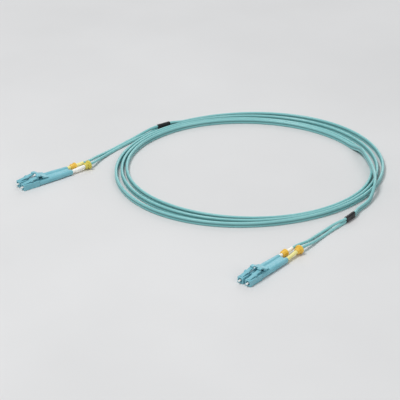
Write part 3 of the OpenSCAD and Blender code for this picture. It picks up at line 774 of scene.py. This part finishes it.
# %% Triggers
TRIGGER_WIDTH = 8.6
TRIGGER_OUTLINE = [(21.4, 2.4), (21.0, 2.75), (20.6, 2.86), (19.2, 3.16), (17.8, 3.52), (16.9, 3.95),
                   (14.5, 5.5), (14.1, 5.66), (13.6, 5.7), (12.3, 5.7), (11.85, 5.6), (11.62, 5.3),
                   (11.6, 4.93), (15.0, 4.93), (15.45, 4.75), (16.15, 2.9), (16.4, 2.62), (20.1, 2.42),
                   (20.9, 2.1)]
NOTCH_SIZE, NOTCH_MIDDLE, NOTCH_ROUND = (3, 3.4, 3), (11.6, 0, 5.5), 0.5
FROM_X_TO_Y = Matrix.Rotation(math.pi / 2, 4, "Z")
TRIGGER_PIVOT = Matrix.Translation((21, 0, 2.1)) @ FROM_X_TO_Y


def trigger(end):
    lever = side_shape(TRIGGER_OUTLINE, 0, TRIGGER_WIDTH, 0.12, 3)
    notch = block(NOTCH_SIZE, NOTCH_MIDDLE, NOTCH_ROUND, 4)
    half = TRIGGER_WIDTH / 2
    root = turned([(-half, 0), (-half, 0.45), (0.05 - half, 0.5),
                   (half - 0.05, 0.5), (half, 0.45), (half, 0)])
    bmesh.ops.transform(root, verts=root.verts, matrix=TRIGGER_PIVOT)
    bm = joined(joined(lever, [notch], "DIFFERENCE"), [root], "UNION")
    return finish_piece("trigger_" + end + "_lever", bm, plug_place(end), AQUA, "trigger_" + end,
                        ["trigger_" + end])


triggers = [trigger(end) for end in PLUGS]
print("faces of a trigger:", len(triggers[0].data.polygons))

# %% [markdown]
# ## The housing's outline
#
# Each channel of the housing is a tube with rounded corners that tapers towards the cord. Its lower
# corners are tighter than its upper ones. A table of stations says how wide and high it is at each place,
# and a helper turns a station into a ring.

# %% Stations of the housing
STATIONS = [  # x, width, lowest, highest, upper corners, lower corners
    (13.0, 4.1, -2.0, 1.7, 1.7, 1.5), (13.06, 4.32, -2.11, 1.81, 1.86, 1.62),
    (13.25, 4.5, -2.2, 1.9, 1.98, 1.8), (13.7, 4.6, -2.25, 1.95, 2.05, 1.9),
    (19, 4.55, -2.25, 1.95, 2.05, 1.9), (25, 4.5, -2.25, 1.95, 2.05, 1.9),
    (33, 4.0, -2.1, 1.84, 1.85, 1.75), (40.2, 3.4, -1.95, 1.7, 1.6, 1.5),
    (40.9, 3.3, -1.91, 1.66, 1.55, 1.45), (41.3, 3.13, -1.82, 1.57, 1.45, 1.36),
    (41.5, 2.9, -1.7, 1.45, 1.3, 1.25),
]
CORNER_POINTS = 9


def station_ring(y, x, width, low, high, upper, lower):
    points = []
    for quarter, (across, up) in enumerate(((1, 1), (-1, 1), (-1, -1), (1, -1))):
        r = upper if up > 0 else lower
        for k in range(CORNER_POINTS):
            angle = math.pi / 2 * (quarter + k / (CORNER_POINTS - 1))
            points.append(Vector((x, y + across * (width / 2 - r) + r * math.cos(angle),
                                  (high - r if up > 0 else low + r) + r * math.sin(angle))))
    return points


print("the housing is", STATIONS[-1][0] - STATIONS[0][0], "mm long")

# %% [markdown]
# ## Housing shells
#
# Two shells close round the back of both channels. The two tubes are joined by a lower web, which leaves
# a shallow valley between them. The whole is bored for what it holds and for the trigger's bar, and then
# cut into an upper and a lower shell with a hair of space, which shows as the parting line.

# %% Housing shells
WEB_OUTLINE = [(13.35, -2.15), (25, -2.15), (40.7, -1.85), (40.7, 0.95), (25, 1.2), (13.35, 1.2)]
BORE_OUTLINE = [(12, 0), (12, 1.6), (20.4, 1.6), (20.4, 1.27), (28.6, 1.27), (28.6, 1.36), (33.5, 1.36),
                (33.5, 1.62), (34.9, 1.62), (34.9, 1.36), (43, 1.36), (43, 0)]
HINGE_OUTLINE = [(-9, 0), (-9, 0.54), (9, 0.54), (9, 0)]
HALF_SPACE = (40, 20, 10)
HALF_MIDDLES = {"upper": (27, 0, 5.03), "lower": (27, 0, -5.03)}


def housing(end):
    tubes = [tube_through([station_ring(side(channel), *station) for station in STATIONS])[0]
             for channel in (1, 2)]
    whole = joined(side_shape(WEB_OUTLINE, 0, 2 * HALF_PITCH), tubes, "UNION")
    bores = [turned(BORE_OUTLINE, side(channel)) for channel in (1, 2)]
    hinge = turned(HINGE_OUTLINE)
    bmesh.ops.transform(hinge, verts=hinge.verts, matrix=TRIGGER_PIVOT)
    whole = joined(whole, [*bores, hinge], "DIFFERENCE")
    shells = []
    for name, middle in HALF_MIDDLES.items():
        half = joined(whole.copy(), [block(HALF_SPACE, middle)], "INTERSECT")
        shells.append(finish_piece(f"housing_{name}_{end}_shell", half, plug_place(end), AQUA, ROOT,
                                   [f"housing_{name}_{end}"]))
    whole.free()
    return shells


housings = [shell for end in PLUGS for shell in housing(end)]
print("faces of the shells:", [len(s.data.polygons) for s in housings])

# %% [markdown]
# ## Ferrules
#
# A ferrule is a ceramic pin with a bevelled, slightly domed end, in whose middle the glass fibre ends. It
# is turned in one go. The tiny disc of the fibre's end gets its own darker finish.

# %% Ferrules
GLASS_END = plastic("fibre_end", srgb(0.16, 0.2, 0.24), srgb(0.2, 0.26, 0.3),
                    grain=6000, depth=2e-7, rough=(0.05, 0.1), specular=0.8)
FERRULE_OUTLINE = [(-1.615, 0), (-1.613, 0.0625), (-1.6, 0.3), (-1.575, 0.4), (-1.54, 0.44), (-1.36, 0.61),
                   (-1.32, 0.625), (2.9, 0.625), (3.7, 0.6), (5.35, 0.6), (5.4, 0.55), (5.4, 0)]


def ferrule(end, channel):
    bm = turned(FERRULE_OUTLINE, side(channel))
    for face in bm.faces:
        middle = face.calc_center_median()
        face.material_index = int(middle.x < -1.6 and math.hypot(middle.y - side(channel), middle.z) < 0.06)
    piece = finish_piece(f"ferrule_{end}{channel}_pin", bm, plug_place(end), CERAMIC,
                         f"ferrule_unit_{end}{channel}", [f"ferrule_{end}{channel}"])
    piece.data.materials.append(GLASS_END)
    return piece


ferrules = [ferrule(*which) for which in CHANNELS]
print("faces of a ferrule:", len(ferrules[0].data.polygons))

# %% [markdown]
# ## Boots
#
# A boot keeps the leg from bending sharply where it leaves the plug. Its front is held inside the
# housing by a flange. Behind the housing it bends a little, so it is not one lathe shape but a tube
# through rings: straight ones inside, tilted ones outside, and at the tip the rings turn inwards.

# %% Boots
BOOT_RINGS = [  # distance from the back of the housing, radius
    (-12.9, 1.25), (-12.8, 1.34), (-8.0, 1.34), (-8.0, 1.6), (-6.6, 1.6), (-6.6, 1.34), (-0.3, 1.345),
    (0.5, 1.32), (5, 1.31), (12.7, 1.3), (13.1, 1.27), (13.38, 1.19), (13.5, 1.09), (13.45, 1.04), (7, 1.04),
]


def boot(end, channel, rubber):
    bent, straight = boot_place(channel), Matrix.Translation((HOUSING_BACK, side(channel), 0))
    rings = [[(bent if s > 0 else straight) @ Vector((s, r * math.cos(a), r * math.sin(a)))
              for a in around(36)] for s, r in BOOT_RINGS]
    bm, _ = tube_through(rings)
    return finish_piece(f"boot_{end}{channel}_rubber", bm, plug_place(end), rubber, ROOT,
                        [f"boot_{end}{channel}"], sharp_above=50)


boots = [boot(*which, rubber) for which, rubber in
         zip(CHANNELS, (YELLOW_RUBBER, WHITE_RUBBER, WHITE_RUBBER, YELLOW_RUBBER))]
print("faces of a boot:", len(boots[0].data.polygons))

# %% [markdown]
# ## Marker collars
#
# A collar slips over the boot and tells the two channels apart. It has a cone in front, a waist and a
# wider rim at the back, all turned, with each edge broken as a mould breaks it. The larger collars have a
# small dimple in the waist on their outer side, where the mould was filled. A plain turned collar would
# lack it.

# %% Marker collars
COLLARS = {1: (2.6, 2.6), 2: (11.2, 3.2)}  # channel: distance from the housing, radius of the rim
DIMPLE_OUTLINE = [(-3, 0), (-3, 0.48), (-1.7, 0.4), (-1.65, 0)]
DIMPLE_AT, DIMPLE_TURN = 2.05, -0.5


def collar(end, channel, dyed):
    at, rim = COLLARS[channel]
    bm = turned([(at, 1.4), (at, 1.72), (at + 0.08, 1.84), (at + 0.2, 1.93), (at + 1.1, 2.31),
                 (at + 1.25, 2.35), (at + 1.4, 2.33), (at + 1.55, 2.2), (at + 1.6, 2.05), (at + 2.5, 2.05),
                 (at + 2.65, 2.12), (at + 3.03, rim - 0.14), (at + 3.1, rim - 0.04), (at + 3.2, rim),
                 (at + 4.2, rim), (at + 4.34, rim - 0.05), (at + 4.4, rim - 0.18), (at + 4.4, rim - 0.55),
                 (at + 4.2, rim - 0.75), (at + 4.2, 1.7), (at + 4.3, 1.5), (at + 4.2, 1.4), (at, 1.4)])
    if channel == 2:
        dimple = turned(DIMPLE_OUTLINE, steps=24)
        bmesh.ops.transform(dimple, verts=dimple.verts,
                            matrix=Matrix.Translation((at + DIMPLE_AT, 0, 0))
                            @ Matrix.Rotation(DIMPLE_TURN, 4, "X") @ FROM_X_TO_Y)
        bm = joined(bm, [dimple], "DIFFERENCE")
    return finish_piece(f"marker_collar_{end}{channel}_ring", bm, plug_place(end) @ boot_place(channel), dyed,
                        ROOT, [f"marker_collar_{end}{channel}"], sharp_above=45)


collars = [collar(*which, dyed) for which, dyed in zip(CHANNELS, (AMBER, LEMON, AMBER, AMBER))]
print("faces of the collars:", [len(c.data.polygons) for c in collars])

# %% [markdown]
# ## Springs
#
# Behind its flange each ferrule leans on a coil spring of six turns, which keeps two ferrules pressed
# together in a port. The wire is a small ring swept along a helix. A spring gets shorter when its ferrule
# is pushed back, which no stiff piece can do.

# %% Springs
SPRING_FRONT, SPRING_BACK, SPRING_RADIUS, WIRE_RADIUS = 7.02, 11.88, 1.02, 0.17
SPRING_TURNS, TURN_POINTS = 6, 24
SPRING_PITCH = (SPRING_BACK - SPRING_FRONT) / SPRING_TURNS


def wire_ring(y, step):
    angle = 2 * math.pi * step / TURN_POINTS
    out = Vector((0, math.cos(angle), math.sin(angle)))
    ahead = Vector((SPRING_PITCH / (2 * math.pi), -SPRING_RADIUS * out.z, SPRING_RADIUS * out.y)).normalized()
    across = ahead.cross(out)
    middle = Vector((SPRING_FRONT + SPRING_PITCH * step / TURN_POINTS, y, 0)) + SPRING_RADIUS * out
    return [middle + WIRE_RADIUS * (math.cos(a) * out + math.sin(a) * across) for a in around(10)]


def spring(end, channel):
    y, place = side(channel), plug_place(end)
    bm, _ = tube_through([wire_ring(y, step) for step in range(TURN_POINTS * SPRING_TURNS + 1)])
    piece = finish_piece(f"spring_{end}{channel}_coil", bm, place, SPRING_STEEL, ROOT,
                         [f"spring_{end}{channel}"], sharp_above=60)
    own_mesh(piece)
    return piece


springs = [spring(*which) for which in CHANNELS]
print("faces of a spring:", len(springs[0].data.polygons))

# %% [markdown]
# ## What lies inside
#
# The flange, the fibre's buffer, the crimp body and the crimp ring hardly show, but a cutaway or an open
# mouth may reveal them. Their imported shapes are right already, so they only get finishes.

# %% Inner pieces
INSIDE = {"flange": NICKEL, "fibre": BUFFER, "crimp_body": BRASS, "crimp_ring": NICKEL}
for kind, finish in INSIDE.items():
    for end, channel in CHANNELS:
        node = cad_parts[f"{kind}_{end}{channel}"]
        node.data.materials.clear()
        node.data.materials.append(finish)
print("inner pieces finished:", len(INSIDE) * len(CHANNELS))

# %% [markdown]
# ## The table
#
# The table is one large plain plane of a pale grey, so that the cord's soft shadow shows on it. It is
# dull and drifts a little in shade, as a sheet of studio paper does. White would clip beside the boots.

# %% Table
TABLE_HALF = 2.5
bm = bmesh.new()
bmesh.ops.create_grid(bm, x_segments=1, y_segments=1, size=TABLE_HALF)
table_mesh = bpy.data.meshes.new("table")
bm.to_mesh(table_mesh)
bm.free()
table = bpy.data.objects.new("table", table_mesh)
bpy.context.collection.objects.link(table)
pale, tree, shader, coords = new_finish("pale_table", specular=0.2)
shader.inputs["Roughness"].default_value = 0.75
tree.links.new(mixed(tree, spread(tree, noise(tree, coords, 6, 3), 0, 1),
                     srgb(0.86, 0.86, 0.86), srgb(0.88, 0.88, 0.88)), shader.inputs["Base Color"])
table.data.materials.append(pale)
print("the table is", table.dimensions.x, "m wide")

# %% [markdown]
# ## The light
#
# The main lamp hangs high on the left. A broad one far behind draws highlights along the far edges, which
# shows the valley in a housing and the roundness of the jackets. A weak one in front on the right opens
# the shadows, and a grey world fills the rest. Together they light a surface so that its colour renders
# about as it is written.

# %% Light
LAMPS = {  # name: place, width of the disc, watts
    "key": ((-0.5, -0.2, 1.4), 0.6, 13),
    "back": ((0.3, 1.5, 0.75), 1.2, 6),
    "fill": ((0.9, -0.9, 0.9), 1.0, 4),
}
WORLD_COLOUR, WORLD_STRENGTH = (0.95, 0.97, 1, 1), 0.34
for name, (at, width, watts) in LAMPS.items():
    lamp = bpy.data.lights.new(name, "AREA")
    lamp.shape, lamp.size, lamp.energy = "DISK", width, watts
    holder = bpy.data.objects.new(name, lamp)
    holder.location = at
    holder.rotation_euler = (AIM - Vector(at)).to_track_quat("-Z", "Y").to_euler()
    bpy.context.collection.objects.link(holder)
world = bpy.data.worlds.new("studio")
world.use_nodes = True
world.node_tree.nodes["Background"].inputs["Color"].default_value = WORLD_COLOUR
world.node_tree.nodes["Background"].inputs["Strength"].default_value = WORLD_STRENGTH
bpy.context.scene.world = world
bpy.context.scene.view_settings.view_transform = "Standard"
print("lamps:", ", ".join(LAMPS))
